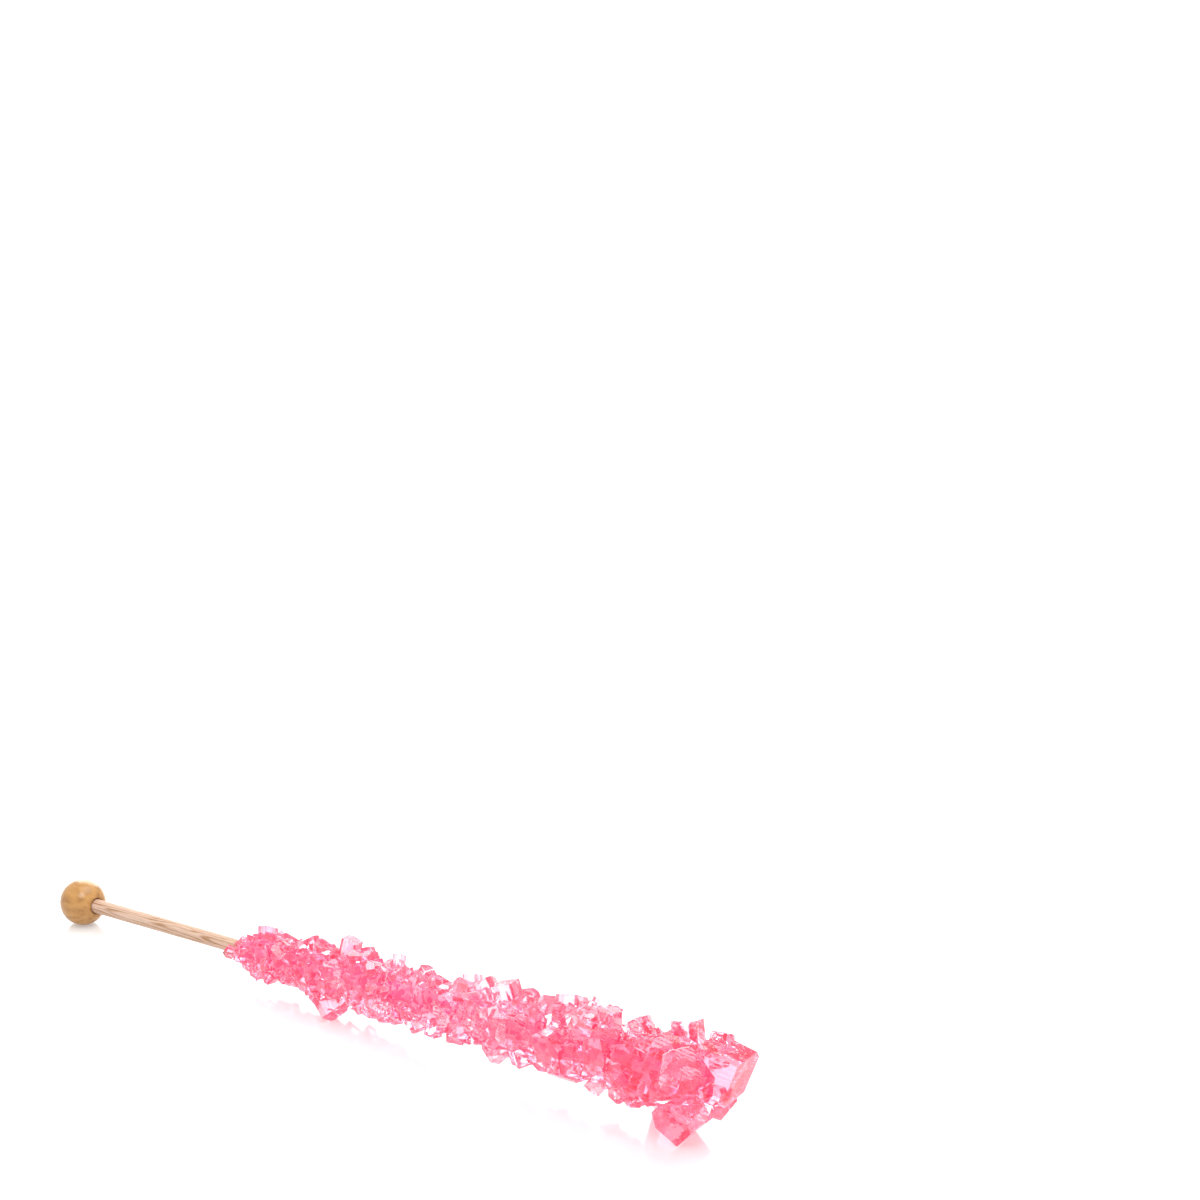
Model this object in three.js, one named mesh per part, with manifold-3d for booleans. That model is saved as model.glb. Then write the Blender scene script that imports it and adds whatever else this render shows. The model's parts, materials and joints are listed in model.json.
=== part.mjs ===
// Rock candy on a wooden stick with a ball on its end, lying on its side.
// Units are millimetres, with +Z up and +X from the ball to the tip of the candy.
// The origin is on the surface that the stick lies on, under the middle of its box.
import * as THREE from "three";
import { ConvexGeometry } from "three/addons/geometries/ConvexGeometry.js";
import { mergeVertices } from "three/addons/utils/BufferGeometryUtils.js";
import Module from "manifold-3d";

const wasm = await Module();
wasm.setup();

// Driving dimensions
const OVERALL_LENGTH = 178;
const BALL_DIAMETER = 9.5;
const BALL_FLAT_DEPTH = 0.12; // of the worn spot that the ball rests on
const DOWEL_DIAMETER = 2.9;
const DOWEL_IN_BALL = 6; // how deep the dowel is glued into the ball
const DOWEL_COVER = 10; // candy beyond the dowel's far end
const FIT_GAP = 0.3; // between the dowel and what is fixed to it
const DOWEL_BEVEL = 0.3; // round its ends
const MOUTH_CHAMFER = 0.45; // round the hole in the ball
const CANDY_START = 46; // from the ball's centre, along the stick
const CANDY_END = OVERALL_LENGTH - BALL_DIAMETER / 2;
const TILT = THREE.MathUtils.degToRad(2.7); // the candy is thicker than the ball, so the stick leans
const BALL_HEIGHT = BALL_DIAMETER / 2 - BALL_FLAT_DEPTH; // of its centre above the surface

// The candy's envelope, out to the corners of its crystals: distance along the stick, radius,
// and how far the middle of the candy stands off the stick
const ENVELOPE = [
  [CANDY_START, 2.6, 0],
  [50, 4.2, 0],
  [54, 4.8, 0.1],
  [63, 5.4, 0.4],
  [74, 6.3, 0.3],
  [84, 6.2, 0.4],
  [93, 5.7, 0.3],
  [106, 6, 0.7],
  [118, 6, 1],
  [129, 7.1, 1.4],
  [141, 7.6, 1.7],
  [151, 8.3, 0.6],
  [160, 9.2, 0.3],
  [165, 8, 0],
  [168, 5.5, 0],
];
const SWOLLEN_SIDE = -28; // the side that the candy's middle stands off to
const CORE_SHARE = 0.7; // of the envelope's radius, filled between the crystals

// Typical crystal, by distance along the stick: width across
const CRYSTAL_WIDTH = [
  [CANDY_START, 2.5],
  [60, 3.5],
  [85, 4],
  [110, 4.6],
  [145, 5.6],
  [170, 6.6],
];
const SPACING = 1.16; // between neighbouring crystals, as a share of their width
const LAST_SCATTERED = 159; // the end beyond it is made of larger crystals, placed one by one
const GOLDEN_ANGLE = Math.PI * (3 - Math.sqrt(5));
const FLOOR_CLEARANCE = 0.4; // under every crystal that isn't a foot
const FOOT_CUT = 0.35; // ground off the corner that a foot stands on

// Crystals that stand out. Each has a place along the stick, an angle round it from the top towards
// the front, the distance of its outermost corner from the axis, half sizes along the stick,
// outward and round it, and three turns: about the line round the stick, the stick's own line
// and the line outward
const LANDMARKS = [
  { at: 46.9, around: 118, reach: 3, half: [2.8, 0.8, 1.1], turns: [-6, 0, 0] },
  { at: 52.4, around: -28, reach: 5.7, half: [1.6, 1.9, 1.6], turns: [14, 0, 0] },
  { at: 56.5, around: 60, reach: 5.1, half: [2.2, 1.8, 2], turns: [10, 20, 30] },
  { at: 66, around: -28, reach: 6.6, half: [2.2, 2.8, 2], turns: [42, 10, 20] },
  { at: 74.5, around: -28, reach: 8.4, half: [1.7, 2.4, 1.7], turns: [-14, 20, 15] },
  { at: 79, around: -28, reach: 7.4, half: [2.3, 2.8, 2.2], turns: [30, 15, 10] },
  { at: 87.5, around: -28, reach: 7.4, half: [1, 1.8, 1.1], turns: [14, 0, 10] },
  { at: 95, around: -28, reach: 6.8, half: [1.6, 1.5, 1.4], turns: [-24, 10, 0] },
  { at: 106.5, around: -30, reach: 7.8, half: [1.6, 1.8, 1.5], turns: [16, 8, 10] },
  { at: 107.5, around: 12, reach: 7.2, half: [2.2, 2, 2.1], turns: [-30, 10, 40] },
  { at: 112, around: -20, reach: 8.2, half: [2, 2.8, 2], turns: [40, 10, 20] },
  { at: 116.5, around: -24, reach: 8.9, half: [2.3, 3.2, 2.4], turns: [20, 24, 10] },
  { at: 121, around: -28, reach: 8, half: [2.2, 2.2, 2], turns: [-38, 10, 10] },
  { at: 131, around: -28, reach: 8.9, half: [2.6, 1.8, 2.2], turns: [14, 0, 0] },
  { at: 139, around: -30, reach: 9.5, half: [3, 1.2, 1.8], turns: [-5, 0, 0] },
  { at: 149, around: -24, reach: 8.9, half: [2, 2.2, 2], turns: [34, 16, 20] },
  { at: 159, around: -30, reach: 11, half: [2.5, 3.2, 2.4], turns: [14, 20, 10] },
  { at: 166, around: -34, reach: 9.6, half: [2.2, 2.1, 1.1], turns: [10, 0, 10] },
  { at: 167.3, around: -53, reach: 9.2, half: [4.6, 4.1, 4.7], turns: [-93, -19, 53], trim: 0.88 },
  { at: 166, around: 205, reach: 6.8, half: [3.4, 3, 3.4], turns: [10, 14, 10], trim: 0.8 },
  { at: 163.4, around: 62, reach: 10.4, half: [4.4, 4.6, 4.6], turns: [12, 8, 40], trim: 0.8 },
  { at: 146, around: 62, reach: 9.4, half: [3.2, 3, 3], turns: [20, 20, 20] },
  { at: 133, around: 70, reach: 8.6, half: [3, 3, 3.2], turns: [10, 30, 40] },
  { at: 121, around: 75, reach: 7.6, half: [2.6, 3, 3], turns: [-20, 10, 20] },
  { at: 84, around: 150, reach: 6.3, half: [1.7, 1.8, 1.5], turns: [24, 10, 0] },
  { at: 90, around: 152, reach: 6.2, half: [1.8, 2, 1.6], turns: [-8, -15, 30] },
  { at: 95.5, around: 148, reach: 6.2, half: [1.6, 1.8, 1.5], turns: [34, 0, 0] },
  { at: 100.5, around: 152, reach: 6.5, half: [1.5, 1.8, 1.4], turns: [14, 20, 0] },
  { at: 106, around: 150, reach: 6.5, half: [1.5, 1.8, 1.4], turns: [-22, 0, 30] },
  { at: 117, around: 152, reach: 7.7, half: [2, 2, 1.8], turns: [45, 0, 0] },
  { at: 128.5, around: 152, reach: 6.8, half: [1.6, 2, 1.6], turns: [38, 10, 0] },
  { at: 132.8, around: 150, reach: 6.8, half: [2.2, 1, 1.4], turns: [-10, 0, 0] },
  { at: 142, around: 152, reach: 8, half: [1.4, 2, 1.4], turns: [30, 0, 0] },
  { at: 151, around: 152, reach: 8.4, half: [2.3, 2.6, 2], turns: [40, 10, 0] },
];
// Crystals that reach down to the surface
const FEET = [
  { at: 74, around: 149, reach: 8.6, half: [2.7, 2.8, 2.2], turns: [45, 0, 0] },
  { at: 160, around: 179, reach: 12.5, half: [3.9, 2.8, 5.2], turns: [44, -11, -7], trim: 0.76 },
  { at: 153, around: 212, reach: 12, half: [3.2, 4.4, 3.2], turns: [12, 10, 30] },
];

// A sugar crystal's faces
const SLANT = THREE.MathUtils.degToRad(103); // between two pairs of its long faces
const TRIM = THREE.MathUtils.degToRad(48); // of the pair of faces that cuts its sharp long edges
const ROOF_LEAST = 0.25; // slope from which an end has two faces that meet in a ridge

const SAME_POINT = 1e-4; // how close two corners are merged
const SEED = 20707;
const random = randomFrom(SEED);

function randomFrom(seed) {
  let state = seed;
  return () => {
    state = (state * 16807) % 2147483647;
    return state / 2147483647;
  };
}

function between(low, high) {
  return low + (high - low) * random();
}

// A table's value at x, read between its rows
function along(table, x, column = 1) {
  const next = table.findIndex(([at]) => at > x);
  if (next === 0) return table[0][column];
  if (next < 0) return table.at(-1)[column];
  const [before, after] = [table[next - 1], table[next]];
  return THREE.MathUtils.mapLinear(x, before[0], after[0], before[column], after[column]);
}

function solidOf(geometry) {
  const bare = new THREE.BufferGeometry();
  bare.setAttribute("position", geometry.getAttribute("position"));
  if (geometry.index) bare.setIndex(geometry.index);
  const merged = mergeVertices(bare, SAME_POINT);
  return new wasm.Manifold(
    new wasm.Mesh({
      numProp: 3,
      vertProperties: merged.getAttribute("position").array,
      triVerts: new Uint32Array(merged.index.array),
    }),
  );
}

function geometryOf(solid) {
  const mesh = solid.getMesh();
  const geometry = new THREE.BufferGeometry();
  geometry.setAttribute("position", new THREE.BufferAttribute(mesh.vertProperties, 3));
  geometry.setIndex(new THREE.BufferAttribute(mesh.triVerts, 1));
  const faceted = geometry.toNonIndexed();
  faceted.computeVertexNormals();
  return faceted;
}

// A shape turned about the stick's axis, from points of [distance along it, radius]
function turned(points, segments) {
  const profile = points.map(([x, radius]) => new THREE.Vector2(radius, x));
  return new THREE.LatheGeometry(profile, segments).rotateZ(-Math.PI / 2).rotateX(Math.PI / 2);
}

// A block under the surface that the stick lies on, in the tilted stick's own frame
function ground() {
  const size = 2 * OVERALL_LENGTH;
  const block = new THREE.BoxGeometry(size, size, size);
  return block.translate(0, 0, -BALL_HEIGHT - size / 2).rotateY(TILT);
}

// How far a point in the stick's frame is above the surface
function heightOf(point) {
  return point.x * Math.sin(TILT) + point.z * Math.cos(TILT) + BALL_HEIGHT;
}

// The flat faces that bound a crystal, the first end of which is inside the candy
function crystalFaces([a, b, c], roof, trim) {
  const faces = [[0, -1, 0, b]];
  for (const side of [-1, 1]) {
    faces.push([side, 0, 0, a]);
    faces.push([side * Math.cos(SLANT), 0, side * Math.sin(SLANT), c]);
    faces.push([side * Math.cos(TRIM), 0, side * Math.sin(TRIM), trim * Math.hypot(a, c)]);
  }
  const slopes = roof > ROOF_LEAST ? [roof, -roof] : [roof];
  for (const slope of slopes) faces.push([Math.sin(slope), Math.cos(slope), 0, b * Math.cos(slope)]);
  return faces.map(([x, y, z, distance]) => new THREE.Plane(new THREE.Vector3(x, y, z), -distance));
}

// Where three planes meet, or null where they run alongside one another
function meeting(p, q, r) {
  const cross = new THREE.Vector3().crossVectors(q.normal, r.normal);
  const volume = p.normal.dot(cross);
  if (Math.abs(volume) < 1e-6) return null;
  const point = cross.multiplyScalar(-p.constant);
  point.addScaledVector(new THREE.Vector3().crossVectors(r.normal, p.normal), -q.constant);
  point.addScaledVector(new THREE.Vector3().crossVectors(p.normal, q.normal), -r.constant);
  return point.divideScalar(volume);
}

function crystal(half, roof, trim) {
  const faces = crystalFaces(half, roof, trim);
  const corners = [];
  faces.forEach((p, i) =>
    faces.slice(i + 1).forEach((q, j) =>
      faces.slice(i + j + 2).forEach((r) => {
        const point = meeting(p, q, r);
        const inside = point && faces.every((face) => face.distanceToPoint(point) < SAME_POINT);
        const isNew = inside && corners.every((known) => known.distanceTo(point) > SAME_POINT);
        if (isNew) corners.push(point);
      }),
    ),
  );
  return new ConvexGeometry(corners);
}

// Puts a crystal on the stick, so that its outermost corner is at its reach
function planted({ at, around, reach, half, turns, roof = 0.06, trim = 0.86 }) {
  const angle = THREE.MathUtils.degToRad(around);
  const outward = new THREE.Vector3(0, -Math.sin(angle), Math.cos(angle));
  const alongStick = new THREE.Vector3(1, 0, 0);
  const round = new THREE.Vector3().crossVectors(alongStick, outward);
  const [roll, lean, spin] = turns.map(THREE.MathUtils.degToRad);
  const turn = new THREE.Matrix4().makeRotationAxis(round, roll);
  turn.multiply(new THREE.Matrix4().makeRotationAxis(alongStick, lean));
  turn.multiply(new THREE.Matrix4().makeRotationAxis(outward, spin));
  turn.multiply(new THREE.Matrix4().makeBasis(alongStick, outward, round));
  const geometry = crystal(half, roof, trim).applyMatrix4(turn);
  const position = geometry.getAttribute("position");
  const corner = new THREE.Vector3();
  let extent = 0;
  for (let i = 0; i < position.count; i++) {
    extent = Math.max(extent, corner.fromBufferAttribute(position, i).dot(outward));
  }
  return geometry.translate(at, outward.y * (reach - extent), outward.z * (reach - extent));
}

// Lifts or lowers a crystal, so that its lowest corner is at a height above the surface
function settle(geometry, height, exactly = false) {
  const position = geometry.getAttribute("position");
  const corner = new THREE.Vector3();
  let lowest = Infinity;
  for (let i = 0; i < position.count; i++) {
    lowest = Math.min(lowest, heightOf(corner.fromBufferAttribute(position, i)));
  }
  const lift = height - lowest;
  return exactly || lift > 0 ? geometry.translate(0, 0, lift) : geometry;
}

function scatteredCrystals() {
  const placed = [];
  let at = CANDY_START + CRYSTAL_WIDTH[0][1] / 2;
  for (let n = 0; at < LAST_SCATTERED; n++) {
    const width = along(CRYSTAL_WIDTH, at);
    const size = width * between(0.75, 1.3);
    const around = THREE.MathUtils.radToDeg(n * GOLDEN_ANGLE) + between(-12, 12);
    placed.push({
      at: at + between(-0.3, 0.3) * width,
      around,
      reach: envelope(at, around) * between(0.86, 1.05),
      half: [size * between(0.4, 0.6), size * between(0.5, 0.7), size * between(0.38, 0.55)],
      turns: [between(-45, 45), between(-45, 45), between(0, 180)],
      roof: between(-0.1, 0.6),
      trim: between(0.78, 0.95),
    });
    at += (SPACING * width) ** 2 / (2 * Math.PI * along(ENVELOPE, at));
  }
  return placed;
}

// How far from the stick's axis the candy reaches, at a place along it and an angle round it
function envelope(at, around) {
  const standOff = Math.cos(THREE.MathUtils.degToRad(around - SWOLLEN_SIDE));
  return along(ENVELOPE, at) + along(ENVELOPE, at, 2) * standOff;
}

function coreShape() {
  const last = ENVELOPE.at(-1)[0];
  const points = ENVELOPE.map(([x, radius]) => [x, radius * CORE_SHARE]);
  return turned([[CANDY_START, 0], ...points, [last + 1, 0]], 14);
}

function dowelEnds() {
  return [BALL_DIAMETER / 2 - DOWEL_IN_BALL, CANDY_END - DOWEL_COVER];
}

function makeBall() {
  const radius = BALL_DIAMETER / 2;
  const bore = DOWEL_DIAMETER / 2 + FIT_GAP;
  const mouth = bore + MOUTH_CHAMFER;
  const mouthAt = Math.sqrt(radius ** 2 - mouth ** 2);
  const mouthAngle = Math.acos(mouthAt / radius);
  const floor = dowelEnds()[0] - FIT_GAP;
  const steps = 14;
  const points = [];
  for (let i = 0; i <= steps; i++) {
    const angle = Math.PI + (mouthAngle - Math.PI) * (i / steps);
    points.push([radius * Math.cos(angle), i === 0 ? 0 : radius * Math.sin(angle)]);
  }
  points.push([mouthAt - MOUTH_CHAMFER, bore], [floor, bore], [floor, 0]);
  return geometryOf(solidOf(turned(points, 28)).subtract(solidOf(ground())));
}

function makeDowel() {
  const [from, to] = dowelEnds();
  const radius = DOWEL_DIAMETER / 2;
  return turned(
    [
      [from, 0],
      [from, radius - DOWEL_BEVEL],
      [from + DOWEL_BEVEL, radius],
      [to - DOWEL_BEVEL, radius],
      [to, radius - DOWEL_BEVEL],
      [to, 0],
    ],
    28,
  );
}

function dowelHole() {
  const bore = DOWEL_DIAMETER / 2 + FIT_GAP;
  const floor = dowelEnds()[1] + FIT_GAP;
  return turned([[0, 0], [0, bore], [floor, bore], [floor, 0]], 20);
}

function makeCandy() {
  const pieces = [coreShape()];
  for (const place of LANDMARKS) pieces.push(settle(planted(place), FLOOR_CLEARANCE));
  for (const place of FEET) pieces.push(settle(planted(place), -FOOT_CUT, true));
  for (const place of scatteredCrystals()) pieces.push(settle(planted(place), FLOOR_CLEARANCE));
  const grown = wasm.Manifold.union(pieces.map(solidOf));
  return geometryOf(grown.subtract(solidOf(dowelHole())).subtract(solidOf(ground())));
}

function part(name, geometry, material) {
  const mesh = new THREE.Mesh(geometry, new THREE.MeshStandardMaterial(material));
  mesh.name = name;
  return mesh;
}

const stick = new THREE.Group();
stick.add(part("ball", makeBall(), { color: 0xd9a25f, roughness: 0.35, metalness: 0 }));
stick.add(part("dowel", makeDowel(), { color: 0xe3c0a4, roughness: 0.7, metalness: 0 }));
stick.add(part("candy", makeCandy(), { color: 0xfb91ab, roughness: 0.1, metalness: 0 }));
stick.rotation.y = -TILT;

// Moves the whole thing over its origin
const rockCandy = new THREE.Group();
rockCandy.add(stick);
const box = new THREE.Box3().setFromObject(rockCandy, true);
const middle = box.getCenter(new THREE.Vector3());
rockCandy.position.set(-middle.x, -middle.y, -box.min.z);

export default rockCandy;
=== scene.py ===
"""The looks of a rock candy stick: clear pink sugar crystals on a wooden stick with a ball on its end."""
import json
import math
import random
from collections import namedtuple

import bmesh
import bpy
from mathutils import Matrix, Quaternion, Vector


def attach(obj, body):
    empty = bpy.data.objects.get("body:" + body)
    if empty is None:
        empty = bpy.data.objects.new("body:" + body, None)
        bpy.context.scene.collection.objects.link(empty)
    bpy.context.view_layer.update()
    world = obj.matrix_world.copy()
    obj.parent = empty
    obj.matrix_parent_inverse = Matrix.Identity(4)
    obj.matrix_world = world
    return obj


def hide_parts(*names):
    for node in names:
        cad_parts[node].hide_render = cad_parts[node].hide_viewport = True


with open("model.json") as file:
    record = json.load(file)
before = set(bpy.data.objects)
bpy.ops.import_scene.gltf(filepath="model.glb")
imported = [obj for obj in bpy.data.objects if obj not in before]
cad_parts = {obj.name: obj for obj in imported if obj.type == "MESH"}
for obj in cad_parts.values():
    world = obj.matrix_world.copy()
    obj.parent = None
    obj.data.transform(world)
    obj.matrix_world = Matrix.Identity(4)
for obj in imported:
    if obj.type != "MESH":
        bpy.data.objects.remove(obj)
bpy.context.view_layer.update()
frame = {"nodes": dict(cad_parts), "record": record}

MM = 0.001

# The stick as the solids have it. Distances along it are from the ball's centre.
TILT = math.radians(2.7)
BALL_RADIUS = 4.75 * MM
BALL_CENTRE_HEIGHT = 4.63 * MM
DOWEL_RADIUS = 1.45 * MM
DOWEL_IN_BALL = 6 * MM
DOWEL_END = 163 * MM
REST = Vector(frame["record"]["mounts"][0]["pos_m"])
BALL_CENTRE = REST + Vector((0, 0, BALL_CENTRE_HEIGHT))
ALONG = Vector((math.cos(TILT), 0, math.sin(TILT)))
LIFT = Vector((-math.sin(TILT), 0, math.cos(TILT)))
FRONT = Vector((0, -1, 0))

# The photograph's frame, and where the ball is in it
FRAME_PX = 1200
FOCAL_PX = 3900
BALL_PX = (83.1, 902.1)
BALL_WIDTH_PX = 45.7
CAMERA_PITCH = math.radians(17.5)
CAMERA_HEADING = math.radians(40)
SENSOR_MM = 36
CLIP_START = 0.01

# The ball's surface, and the hole in it
BALL_STEPS = 30
BALL_SEGMENTS = 64
HOLE_PLAY = 0.1 * MM
HOLE_LIP = 0.5 * MM
LIP_ROUNDING = 0.12 * MM
HOLE_BEYOND_DOWEL = 0.2 * MM
DOWEL_RINGS = 150
DOWEL_SEGMENTS = 48

# How far the candy's crystals reach, in mm along the stick and out from its middle line
OUTER = (
    (46, 3.0), (50, 4.6), (63, 6.6), (84, 7.4), (106, 7.6),
    (129, 8.8), (141, 9.6), (160, 10.6), (172, 8),
)

# Small crystals between the larger ones: from, to, how many at most, least and most size in mm,
# share of the reach
GRAIN_ZONES = (
    (46, 54, 60, 0.8, 1.5, 0.95),
    (50, 82, 45, 1.8, 3.0, 0.85),
    (82, 118, 45, 2.0, 3.4, 0.8),
    (118, 150, 32, 2.2, 3.8, 0.75),
    (150, 172, 8, 1.8, 3.0, 0.7),
)
GRAIN_SEED = 411
POINTS_PER_GRAIN = 40
REACH_SPREAD = (0.75, 1.1)
GRAIN_SUNK = 0.25  # of its size
CLEAR_OF_FLOOR = 1.2 * MM
CLEAR_OF_DOWEL = 2.2 * MM

# A small crystal: half its thickness, length and breadth as shares of its size, how far it leans,
# how much of its sharp long edges is cut off, and the slope of its end
CRYSTAL_SHARES = ((0.4, 0.6), (0.5, 0.8), (0.38, 0.55))
CRYSTAL_SHEAR = 0.23
CRYSTAL_TRIM = (0.25, 0.6)
CRYSTAL_SLOPE = (-0.5, 0.5)

# Thin gaps inside the candy: from and to in mm along the stick, and how many
CRACK_ZONES = ((50, 169, 120), (148, 171, 18))
CRACK_DEPTH = (0.35, 0.92)  # of the candy's reach, as is the width
CRACK_WIDTH = (0.4, 0.8)
CRACK_THICKNESS = 0.2 * MM

# What fills the dowel's hole in the candy, and the cloudy sleeve in it: points of distance and radius in mm
FILLER = ((48, 0), (48, 2.2), (164.5, 2.2), (164.5, 0))
SLEEVE = ((47, 0), (47.5, 1.7), (163.5, 1.7), (164.5, 0))
ROUND_SEGMENTS = 16

# The sugar takes green and then blue out of the light that goes through it
SUGAR_IOR = 1.54
SUGAR_KEEPS = (0.995, 0.02, 0.325, 1)
SUGAR_DENSITY = 86
SUGAR_PINKS = ((0.0, (1, 0.76, 0.83, 1)), (0.5, (1, 0.87, 0.91, 1)), (1.0, (1, 0.97, 0.97, 1)))
THIN_END = (-38 * MM, 10 * MM)  # along X, where the pink is deeper
THIN_END_PINKS = ((0.0, (1, 0.6, 0.7, 1)), (1.0, (1, 1, 1, 1)))
THICK_END = (45 * MM, 65 * MM)  # along X, where the large crystals start to have growth lines
GROWTH_LINES = 0.22  # their share in the relief
SLEEVE_PINKS = ((0.25, (1, 0.17, 0.42, 1)), (0.8, (1, 0.7, 0.8, 1)))

# Each wood: light, middle and dark tones in sRGB, the growth rings' scale, turn, bend and stretch,
# the fibres' scale and stretch, the fibres' share and the roughness
BALL_WOOD = (
    ((191, 143, 84), (174, 126, 68), (146, 100, 52)),
    (200, (1.2, 0.2, 0.3), 5, 0.35),
    (900, (0.35, 1, 1)),
    0.9,
    0.25,
)
DOWEL_WOOD = (
    ((208, 180, 162), (192, 160, 138), (150, 106, 66)),
    (1100, (0.4, TILT, 0), 9, 0.12),
    (1700, (0.07, 1, 1)),
    0.68,
    0.6,
)

FLOOR_HALF = 3
FLOOR_TONE = 0.56
FLOOR_GLOW = 0.3
WHITE = (1, 1, 1, 1)

# Soft square lamps: name, place, side in m and power in W
LAMPS = (
    ("overhead", (0.05, 0.12, 0.55), 0.4, 1.5),
    ("key", (0.12, -0.244, 0.51), 0.26, 1.3),
    ("back", (-0.41, 0.49, 0.285), 0.5, 2.75),
)
LAMPS_AIM = Vector((0.03, 0, 0))

SAME_POINT = 1e-8
CLOSE_POINT = 1e-7  # so near that the faces between them can go
LEAST_GAP = 1e-13  # in m3

# A small crystal or gap: how far its corners are from its middle, its middle, its corners and its sides
Block = namedtuple("Block", "reach centre corners sides")


def on_stick(at, around, out):
    """A point by its distance along the stick, the angle round it from the top to the front, and out."""
    return BALL_CENTRE + at * ALONG + out * (math.cos(around) * LIFT + math.sin(around) * FRONT)


def outer_radius(at):
    for (s0, r0), (s1, r1) in zip(OUTER, OUTER[1:]):
        if at <= s1 * MM:
            return (r0 + (r1 - r0) * max(0, at / MM - s0) / (s1 - s0)) * MM
    return OUTER[-1][1] * MM


def mesh_object(name, vertices, faces, material, smooth=False):
    mesh = bpy.data.meshes.new(name)
    mesh.from_pydata([tuple(v) for v in vertices], [], faces)
    mesh.update()
    mesh.polygons.foreach_set("use_smooth", [smooth] * len(mesh.polygons))
    mesh.materials.append(material)
    piece = bpy.data.objects.new(name, mesh)
    bpy.context.scene.collection.objects.link(piece)
    return piece


def turned(profile, segments):
    """Vertices and faces of a closed shape turned about the stick, from points of (along, radius)."""
    vertices = [on_stick(profile[0][0], 0, 0)]
    inner = profile[1:-1]
    for at, radius in inner:
        vertices += [on_stick(at, math.tau * k / segments, radius) for k in range(segments)]
    vertices.append(on_stick(profile[-1][0], 0, 0))
    last = len(vertices) - 1
    faces = []
    for k in range(segments):
        j = (k + 1) % segments
        faces.append((0, 1 + j, 1 + k))
        for ring in range(len(inner) - 1):
            a, b = 1 + ring * segments, 1 + (ring + 1) * segments
            faces.append((a + k, a + j, b + j, b + k))
        tail = last - segments
        faces.append((tail + k, tail + j, last))
    return vertices, faces


def turned_mm(profile):
    return turned([(at * MM, radius * MM) for at, radius in profile], ROUND_SEGMENTS)


def new_material(name):
    material = bpy.data.materials.new(name)
    material.use_nodes = True
    return material, material.node_tree, material.node_tree.nodes["Principled BSDF"]


def add(tree, kind, **inputs):
    """A shader node. Its inputs are named with _ for a space, and each is a value or a socket to link."""
    node = tree.nodes.new("ShaderNode" + kind)
    put(tree, node, **inputs)
    return node


def put(tree, node, **inputs):
    for name, value in inputs.items():
        socket = node.inputs[name.replace("_", " ")]
        if isinstance(value, bpy.types.NodeSocket):
            tree.links.new(value, socket)
        else:
            socket.default_value = value


def position(tree):
    """The place on the object, in metres."""
    return add(tree, "TexCoord").outputs["Object"]


def ramp(tree, place, stops):
    """The colour between some stops of (place, colour)."""
    node = add(tree, "ValToRGB", Fac=place)
    elements = node.color_ramp.elements
    while len(elements) < len(stops):
        elements.new(0.5)
    for element, (at, colour) in zip(elements, stops):
        element.position = at
        element.color = colour
    return node.outputs["Color"]


def share_of(tree, value, first, last, low=0, high=1):
    """A value brought from one range into another."""
    node = add(tree, "MapRange", Value=value, From_Min=first, From_Max=last, To_Min=low, To_Max=high)
    return node.outputs["Result"]


def mixed(tree, a, b, factor):
    return add(tree, "Mix", A=a, B=b, Factor=factor).outputs["Result"]


def multiplied(tree, a, b):
    """Two colours multiplied. The node's colour sockets have the names of its number sockets."""
    node = add(tree, "Mix", Factor=1)
    node.data_type = "RGBA"
    node.blend_type = "MULTIPLY"
    tree.links.new(a, node.inputs[6])
    tree.links.new(b, node.inputs[7])
    return node.outputs[2]


def linear(red, green, blue):
    """A colour from its sRGB values, 0 to 255."""
    def one(value):
        share = value / 255
        return share / 12.92 if share <= 0.04045 else ((share + 0.055) / 1.055) ** 2.4
    return (one(red), one(green), one(blue), 1)


def sugar_material():
    material, tree, shader = new_material("sugar_crystal")
    where = position(tree)

    # Patches of slightly different pink, deeper towards the thin end
    patches = add(tree, "TexVoronoi", Vector=where, Scale=260).outputs["Color"]
    pinks = ramp(tree, patches, SUGAR_PINKS)
    along = add(tree, "SeparateXYZ", Vector=where).outputs["X"]
    deeper = ramp(tree, share_of(tree, along, *THIN_END), THIN_END_PINKS)

    # Faintly cloudy spots
    cloud = add(tree, "TexNoise", Vector=where, Scale=420, Detail=4).outputs["Fac"]
    clear = share_of(tree, cloud, 0.35, 0.65, 1.0, 0.99)

    # Ripples on the faces, with growth lines on the large crystals at the tip
    slanted = add(tree, "Mapping", Vector=where, Scale=(0.5, 1, 1.6), Rotation=(0.4, 0.7, 0.3))
    grown = slanted.outputs["Vector"]
    ripples = add(tree, "TexNoise", Vector=grown, Scale=700, Detail=3).outputs["Fac"]
    lines = add(tree, "TexWave", Vector=grown, Scale=300, Distortion=6, Detail=3)
    lines.bands_direction = "DIAGONAL"
    large = share_of(tree, along, *THICK_END, high=GROWTH_LINES)
    relief = mixed(tree, ripples, lines.outputs["Fac"], large)
    bump = add(tree, "Bump", Height=relief, Strength=0.3, Distance=0.4 * MM).outputs["Normal"]

    put(tree, shader, Base_Color=multiplied(tree, pinks, deeper), Transmission_Weight=clear, Normal=bump,
        IOR=SUGAR_IOR, Roughness=0.0)
    soak = add(tree, "VolumeAbsorption", Color=SUGAR_KEEPS, Density=SUGAR_DENSITY).outputs["Volume"]
    put(tree, tree.nodes["Material Output"], Volume=soak)
    return material


def sleeve_material():
    material, tree, shader = new_material("candy_heart")
    grains = add(tree, "TexVoronoi", Vector=position(tree), Scale=800).outputs["Color"]
    put(tree, shader, Base_Color=ramp(tree, grains, SLEEVE_PINKS), Roughness=0.5)
    return material


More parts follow.
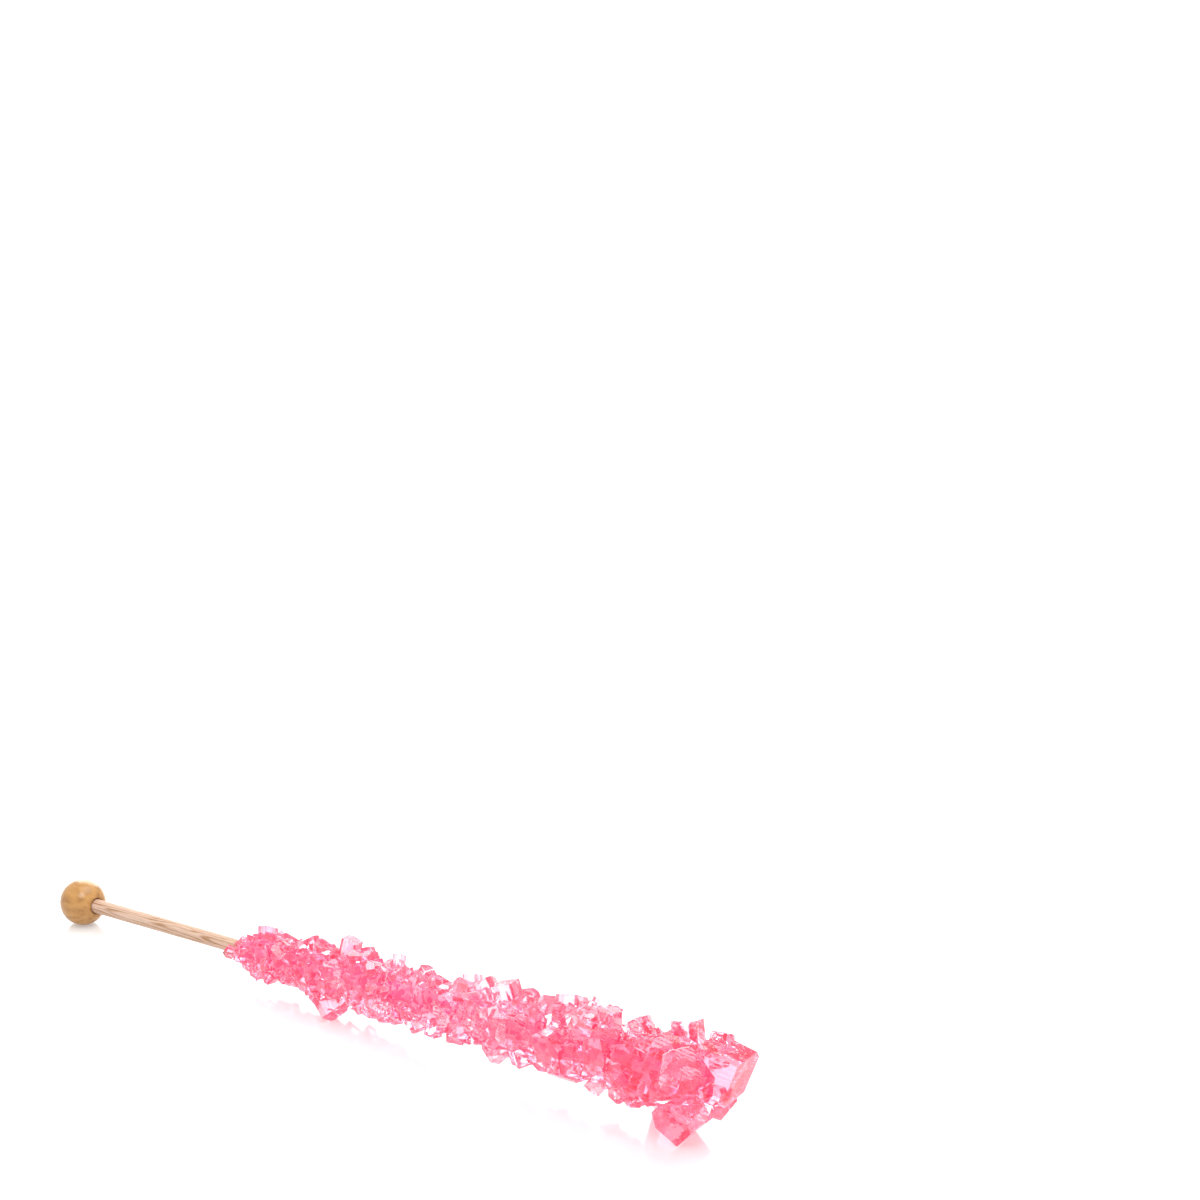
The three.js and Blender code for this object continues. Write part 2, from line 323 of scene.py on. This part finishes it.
def wood_material(name, tones, rings, fibres, share, roughness):
    """Wood with growth rings and fine fibres."""
    material, tree, shader = new_material(name)
    where = position(tree)
    ring_scale, ring_turn, ring_bend, ring_stretch = rings
    across = add(tree, "Mapping", Vector=where, Rotation=ring_turn, Scale=(ring_stretch, 1, 1))
    wave = add(tree, "TexWave", Vector=across.outputs["Vector"], Scale=ring_scale, Distortion=ring_bend,
               Detail=3, Detail_Scale=0.6)
    wave.bands_direction = "Y"
    fibre_scale, fibre_stretch = fibres
    drawn = add(tree, "Mapping", Vector=where, Rotation=(0, TILT, 0), Scale=fibre_stretch)
    fibre = add(tree, "TexNoise", Vector=drawn.outputs["Vector"], Scale=fibre_scale, Detail=5)
    fibre = fibre.outputs["Fac"]
    light, middle, dark = (linear(*tone) for tone in tones)
    grain = mixed(tree, wave.outputs["Fac"], fibre, share)
    tint = ramp(tree, grain, ((0.25, dark), (0.5, middle), (0.8, light)))
    bump = add(tree, "Bump", Height=fibre, Strength=0.2, Distance=0.1 * MM).outputs["Normal"]
    put(tree, shader, Base_Color=tint, Normal=bump, Roughness=roughness)
    return material


def make_ball():
    bore = DOWEL_RADIUS + HOLE_PLAY
    mouth_angle = math.asin((bore + HOLE_LIP) / BALL_RADIUS)
    profile = []
    for k in range(BALL_STEPS + 1):
        angle = math.pi + (mouth_angle - math.pi) * k / BALL_STEPS
        profile.append((BALL_RADIUS * math.cos(angle), BALL_RADIUS * math.sin(angle)))
    edge = profile[-1][0]
    profile += [(edge - LIP_ROUNDING, bore + LIP_ROUNDING), (edge - HOLE_LIP, bore)]
    floor = BALL_RADIUS - DOWEL_IN_BALL - HOLE_BEYOND_DOWEL
    profile += [(floor, bore), (floor, 0)]
    vertices, faces = turned(profile, BALL_SEGMENTS)
    for v in vertices:
        v.z = max(v.z, 0)
    material = wood_material("ball_wood", *BALL_WOOD)
    ball = mesh_object("ball_turned", vertices, faces, material, smooth=True)
    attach(ball, "root")
    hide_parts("ball")


def make_dowel():
    start = BALL_RADIUS - DOWEL_IN_BALL
    profile = [(start, 0), (start, DOWEL_RADIUS)]
    for k in range(1, DOWEL_RINGS + 1):
        profile.append((start + (DOWEL_END - start) * k / DOWEL_RINGS, DOWEL_RADIUS))
    profile.append((DOWEL_END, 0))
    vertices, faces = turned(profile, DOWEL_SEGMENTS)
    material = wood_material("dowel_wood", *DOWEL_WOOD)
    dowel = mesh_object("dowel_beech", vertices, faces, material, smooth=True)
    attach(dowel, "root")
    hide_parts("dowel")


def crystal(draw, size):
    """A small sugar crystal about its own middle: a sheared six-sided prism with a sloping end."""
    a, b, c = (size * draw.uniform(*share) for share in CRYSTAL_SHARES)
    shear, trim, slope = CRYSTAL_SHEAR * c, draw.uniform(*CRYSTAL_TRIM), draw.uniform(*CRYSTAL_SLOPE)
    far, near = (1 - trim) * c, (1 - trim) * a
    vertices = []
    section = [(-a, -far), (-near, -c), (a, -c), (a, far), (near, c), (-a, c)]
    for end in (-1, 1):
        for x, z in section:
            vertices.append(Vector((x + shear * z / c, end * b + (slope * x if end > 0 else 0), z)))
    sides = [tuple(range(6)), tuple(range(11, 5, -1))]
    sides += [(k, 6 + k, 6 + (k + 1) % 6, (k + 1) % 6) for k in range(6)]
    return vertices, sides


def any_turn(draw):
    axis = Vector([draw.gauss(0, 1) for _ in range(3)]).normalized()
    return Quaternion(axis, draw.uniform(0, math.tau))


def placed(corners, sides, centre, turn):
    corners = [centre + turn @ v for v in corners]
    return Block(max((v - centre).length for v in corners), centre, corners, sides)


def surface_points(mesh, count, draw):
    """Points spread over a mesh by its area."""
    mesh.calc_loop_triangles()
    triangles = list(mesh.loop_triangles)
    weights = [t.area for t in triangles]
    points = []
    for t in draw.choices(triangles, weights, k=count):
        u, v = draw.random(), draw.random()
        if u + v > 1:
            u, v = 1 - u, 1 - v
        a, b, c = (mesh.vertices[i].co for i in t.vertices)
        points.append(a + u * (b - a) + v * (c - a))
    return points


def grown_grains(source, draw):
    """Small crystals over the candy's surface."""
    grains = []
    for first, last, count, least, most, reach_share in GRAIN_ZONES:
        made = 0
        for point in surface_points(source, POINTS_PER_GRAIN * count, draw):
            at = (point - BALL_CENTRE).dot(ALONG)
            if not first <= at / MM < last or point.z <= CLEAR_OF_FLOOR:
                continue
            off = point - BALL_CENTRE - at * ALONG
            if made == count:
                break
            if off.length < CLEAR_OF_DOWEL:
                continue
            if off.length > reach_share * outer_radius(at) * draw.uniform(*REACH_SPREAD):
                continue
            made += 1
            size = draw.uniform(least, most) * MM
            turn = any_turn(draw)
            corners, sides = crystal(draw, size)
            grains.append(placed(corners, sides, point - off.normalized() * size * GRAIN_SUNK, turn))
    return grains


def cracks(draw):
    """Thin gaps between the crystals."""
    thin = []
    for first, last, count in CRACK_ZONES:
        for k in range(count):
            at = (first + (last - first) * (k + draw.random()) / count) * MM
            centre = on_stick(at, draw.uniform(0, math.tau), draw.uniform(*CRACK_DEPTH) * outer_radius(at))
            turn = any_turn(draw)
            size = draw.uniform(*CRACK_WIDTH) * outer_radius(at)
            corners, sides = crystal(draw, size)
            flat = CRACK_THICKNESS / size
            thin.append(placed([Vector((v.x, v.y * flat, v.z)) for v in corners], sides, centre, turn))
    return thin


def apart(blocks):
    """The blocks in groups in which no two touch, so that each group is one sound mesh."""
    groups = []
    for block in blocks:
        for group in groups:
            if all((block.centre - other.centre).length > block.reach + other.reach for other in group):
                group.append(block)
                break
        else:
            groups.append([block])
    return groups


def group_pieces(blocks, material):
    """One object for each group of blocks."""
    pieces = []
    for k, group in enumerate(apart(blocks)):
        vertices, faces = [], []
        for block in group:
            base = len(vertices)
            vertices += block.corners
            faces += [tuple(base + i for i in side) for side in block.sides]
        pieces.append(mesh_object(f"blocks_{k}", vertices, faces, material))
    return pieces


def combine(body, pieces, operation):
    """Joins closed pieces to a closed body, or cuts them out of it, as one mesh."""
    collection = bpy.data.collections.new("pieces")
    bpy.context.scene.collection.children.link(collection)
    for piece in pieces:
        bpy.context.scene.collection.objects.unlink(piece)
        collection.objects.link(piece)
    change = body.modifiers.new("change", "BOOLEAN")
    change.operation = operation
    change.operand_type = "COLLECTION"
    change.collection = collection
    change.solver = "MANIFOLD"
    body.data = bpy.data.meshes.new_from_object(body.evaluated_get(bpy.context.evaluated_depsgraph_get()))
    body.modifiers.clear()
    for piece in pieces:
        bpy.data.meshes.remove(piece.data)
    bpy.data.collections.remove(collection)
    body.data.polygons.foreach_set("use_smooth", [False] * len(body.data.polygons))


def shells(bm):
    """The faces of each separate shell of a mesh."""
    waiting = set(bm.faces)
    while waiting:
        found = [waiting.pop()]
        for face in found:
            for edge in face.edges:
                for other in edge.link_faces:
                    if other in waiting:
                        waiting.remove(other)
                        found.append(other)
        yield found


def volume(faces):
    total = 0
    for face in faces:
        first, *rest = (v.co for v in face.verts)
        total += sum(first.dot(a.cross(b)) for a, b in zip(rest, rest[1:])) / 6
    return total


def drop_chips(body):
    """Deletes the chips that the cracks cut free. The gaps inside have a volume under zero and stay."""
    bm = bmesh.new()
    bm.from_mesh(body.data)
    bmesh.ops.remove_doubles(bm, verts=bm.verts, dist=CLOSE_POINT)
    sized = [(volume(faces), faces) for faces in shells(bm)]
    whole = max(size for size, _ in sized)
    chips = [face for size, faces in sized if -LEAST_GAP < size < whole for face in faces]
    bmesh.ops.delete(bm, geom=chips, context="FACES")
    bm.to_mesh(body.data)
    bm.free()


def make_crystals():
    material = sugar_material()
    source = frame["nodes"]["candy"].data
    mesh = source.copy()
    mesh.materials.clear()
    mesh.materials.append(material)
    body = bpy.data.objects.new("candy_crystals", mesh)
    bpy.context.scene.collection.objects.link(body)
    bm = bmesh.new()
    bm.from_mesh(mesh)
    bmesh.ops.remove_doubles(bm, verts=bm.verts, dist=SAME_POINT)
    bm.to_mesh(mesh)
    bm.free()
    draw = random.Random(GRAIN_SEED)
    filler = mesh_object("filler", *turned_mm(FILLER), material)
    combine(body, [filler, *group_pieces(grown_grains(source, draw), material)], "UNION")
    combine(body, group_pieces(cracks(draw), material), "DIFFERENCE")
    drop_chips(body)
    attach(body, "root")
    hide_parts("candy")


def make_heart():
    heart = mesh_object("candy_heart", *turned_mm(SLEEVE), sleeve_material())
    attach(heart, "root")
    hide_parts("candy")


def make_camera():
    pitch, heading = CAMERA_PITCH, CAMERA_HEADING
    level = math.cos(pitch)
    back = Vector((math.sin(heading) * level, -math.cos(heading) * level, math.sin(pitch)))
    right = Vector((math.cos(heading), math.sin(heading), 0))
    up = back.cross(right)
    distance = FOCAL_PX * 2 * BALL_RADIUS / BALL_WIDTH_PX
    across = (BALL_PX[0] - FRAME_PX / 2) / FOCAL_PX
    down = (BALL_PX[1] - FRAME_PX / 2) / FOCAL_PX
    data = bpy.data.cameras.new("camera")
    data.sensor_width = SENSOR_MM
    data.lens = SENSOR_MM * FOCAL_PX / FRAME_PX
    data.clip_start = CLIP_START
    camera = bpy.data.objects.new("camera", data)
    bpy.context.scene.collection.objects.link(camera)
    turn = Matrix((right, up, back)).transposed().to_4x4()
    place = BALL_CENTRE - distance * (across * right - down * up - back)
    camera.matrix_world = Matrix.Translation(place) @ turn
    bpy.context.scene.camera = camera


def make_floor():
    material, tree, shader = new_material("floor")
    put(tree, shader, Base_Color=(FLOOR_TONE, FLOOR_TONE, FLOOR_TONE, 1), Roughness=0.12,
        Specular_IOR_Level=0.6, Emission_Color=WHITE, Emission_Strength=FLOOR_GLOW)
    corners = [(x * FLOOR_HALF, y * FLOOR_HALF, 0) for x, y in ((-1, -1), (1, -1), (1, 1), (-1, 1))]
    floor = mesh_object("floor", corners, [(0, 1, 2, 3)], material)


def make_light():
    world = bpy.data.worlds.new("studio")
    world.use_nodes = True
    put(world.node_tree, world.node_tree.nodes["Background"], Color=WHITE, Strength=1.0)
    bpy.context.scene.world = world
    for name, place, side, power in LAMPS:
        data = bpy.data.lights.new(name, "AREA")
        data.size = side
        data.energy = power
        lamp = bpy.data.objects.new(name, data)
        bpy.context.scene.collection.objects.link(lamp)
        lamp.location = place
        lamp.rotation_euler = (LAMPS_AIM - Vector(place)).to_track_quat("-Z", "Y").to_euler()


def set_view():
    """Plain colours, and light that is followed far through the crystals without blurring."""
    scene = bpy.context.scene
    scene.view_settings.view_transform = "Standard"
    scene.cycles.max_bounces = 64
    scene.cycles.transmission_bounces = 40
    scene.cycles.glossy_bounces = 40
    scene.cycles.diffuse_bounces = 24
    scene.cycles.blur_glossy = 0.0


make_camera()
make_ball()
make_dowel()
make_crystals()
make_heart()
make_floor()
make_light()
set_view()
